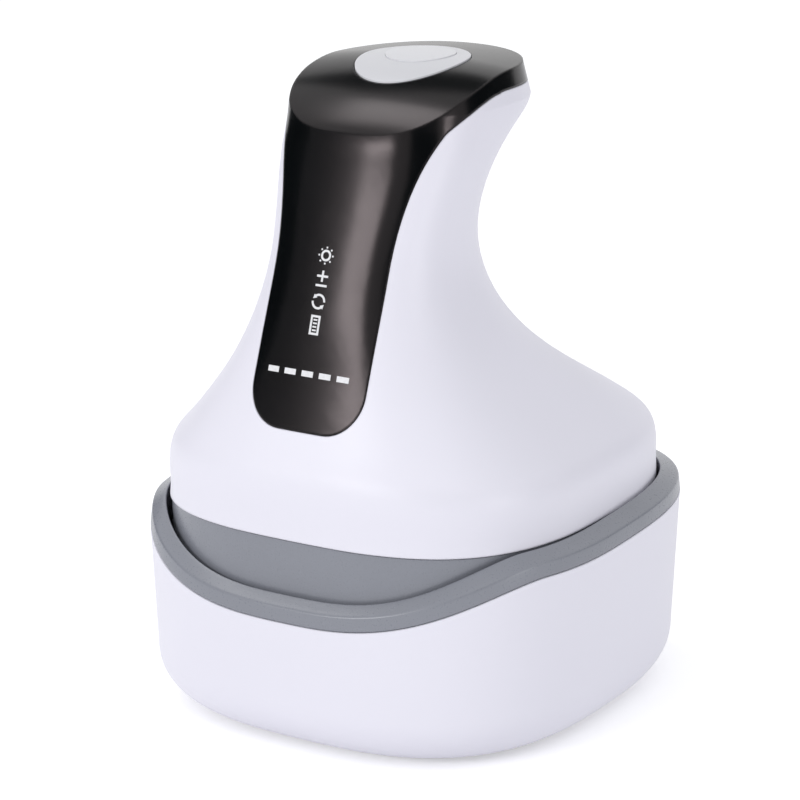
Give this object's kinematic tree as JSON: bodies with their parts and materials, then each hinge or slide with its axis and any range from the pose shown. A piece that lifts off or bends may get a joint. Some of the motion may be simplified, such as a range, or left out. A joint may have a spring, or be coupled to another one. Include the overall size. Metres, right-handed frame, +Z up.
{
  "type": "handheld massager",
  "caption": "Cordless handheld scalp massager with turning finger heads and a hooked grip, standing in a white cup-shaped storage base with a grey wavy rim.",
  "frame": {"origin": "middle of the base, on the plane its feet stand on", "axes": "+Z up; the black front panel faces -Y and the nose of the grip points to +Y; +X to the right seen from the front"},
  "size_m": [0.114, 0.118, 0.1522],
  "materials": {
    "white": "satin moulded plastic",
    "grey": "matte moulded plastic",
    "black": "smoked gloss plastic",
    "light_grey": "satin plastic",
    "button_grey": "satin plastic",
    "finger_rubber": "soft silicone rubber",
    "pad_rubber": "soft foamed rubber",
    "foot_rubber": "matte rubber",
    "cover_rubber": "soft rubber",
    "steel": "bright steel",
    "bronze": "sintered bronze",
    "inner_plastic": "moulded plastic",
    "gear": "natural acetal",
    "cell": "wrapped metal can",
    "board": "solder mask",
    "lamp": "clear resin",
    "guide": "frosted clear plastic",
    "socket": "plated steel"
  },
  "bodies": {
    "base": {"base_shell": "white", "base_rim": "grey", "seat_pads": "pad_rubber", "base_feet": "foot_rubber"},
    "massager": {"upper_shell": "white", "front_panel": "black", "button_plate": "light_grey", "lower_housing": "grey", "gear_plate": "inner_plastic", "spindle_bushes": "bronze", "spindle_seals": "foot_rubber", "idler_pins": "steel", "motor_can": "steel", "motor_cap": "inner_plastic", "motor_screws": "steel", "case_screws": "steel", "battery_cell": "cell", "battery_holder": "inner_plastic", "control_board": "board", "board_screws": "steel", "indicator_leds": "lamp", "light_guide": "guide", "switch_board": "board", "switch_body": "inner_plastic", "charge_board": "board", "charge_socket": "socket"},
    "button": {"power_button": "button_grey", "switch_plunger": "inner_plastic"},
    "cover": {"port_cover": "cover_rubber"},
    "idler_1": {"idler_gear_1": "gear"},
    "idler_2": {"idler_gear_2": "gear"},
    "rotor": {"motor_pinion": "bronze", "motor_shaft": "steel"},
    "head_1": {"drive_gear_1": "gear", "head_hub_1": "grey", "finger_pad_1": "finger_rubber"},
    "head_2": {"drive_gear_2": "gear", "head_hub_2": "grey", "finger_pad_2": "finger_rubber"},
    "head_3": {"drive_gear_3": "gear", "head_hub_3": "grey", "finger_pad_3": "finger_rubber"},
    "head_4": {"drive_gear_4": "gear", "head_hub_4": "grey", "finger_pad_4": "finger_rubber"}
  },
  "joints": [
    {"name": "lift_out", "type": "slide", "parent": "base", "child": "massager", "axis": [0, 0, 1], "range_m": [0, 0.12]},
    {"name": "button_press", "type": "slide", "parent": "massager", "child": "button", "axis": [0, 0, -1], "range_m": [0, 0.0008], "stiffness_N_per_m": 1500, "springref_m": -0.0003},
    {"name": "cover_hinge", "type": "hinge", "parent": "massager", "child": "cover", "pos_m": [0, 0.0513, 0.05385], "axis": [-1, 0, 0], "range_deg": [0, 90]},
    {"name": "head_1_spin", "type": "hinge", "parent": "massager", "child": "head_1", "pos_m": [0.022, 0.0211, 0.024], "axis": [0, 0, 1], "continuous": true},
    {"name": "head_2_spin", "type": "hinge", "parent": "massager", "child": "head_2", "pos_m": [-0.022, 0.0211, 0.024], "axis": [0, 0, 1], "continuous": true},
    {"name": "head_3_spin", "type": "hinge", "parent": "massager", "child": "head_3", "pos_m": [-0.022, -0.0229, 0.024], "axis": [0, 0, 1], "continuous": true},
    {"name": "head_4_spin", "type": "hinge", "parent": "massager", "child": "head_4", "pos_m": [0.022, -0.0229, 0.024], "axis": [0, 0, 1], "continuous": true},
    {"name": "idler_1_spin", "type": "hinge", "parent": "massager", "child": "idler_1", "pos_m": [0.0022, 0.0013, 0.038], "axis": [0, 0, 1], "continuous": true},
    {"name": "idler_2_spin", "type": "hinge", "parent": "massager", "child": "idler_2", "pos_m": [0.0202, 0.0013, 0.043], "axis": [0, 0, 1], "continuous": true},
    {"name": "rotor_spin", "type": "hinge", "parent": "massager", "child": "rotor", "pos_m": [0.00871, -0.00834, 0.048], "axis": [0, 0, 1], "continuous": true}
  ],
  "couplings": [
    {"joint": "head_2_spin", "follows": "head_1_spin", "ratio": -1},
    {"joint": "head_3_spin", "follows": "head_1_spin", "ratio": 1},
    {"joint": "head_4_spin", "follows": "head_1_spin", "ratio": -1},
    {"joint": "idler_1_spin", "follows": "head_1_spin", "ratio": -3.6667},
    {"joint": "idler_2_spin", "follows": "head_1_spin", "ratio": 14.667},
    {"joint": "rotor_spin", "follows": "head_1_spin", "ratio": -58.667}
  ]
}
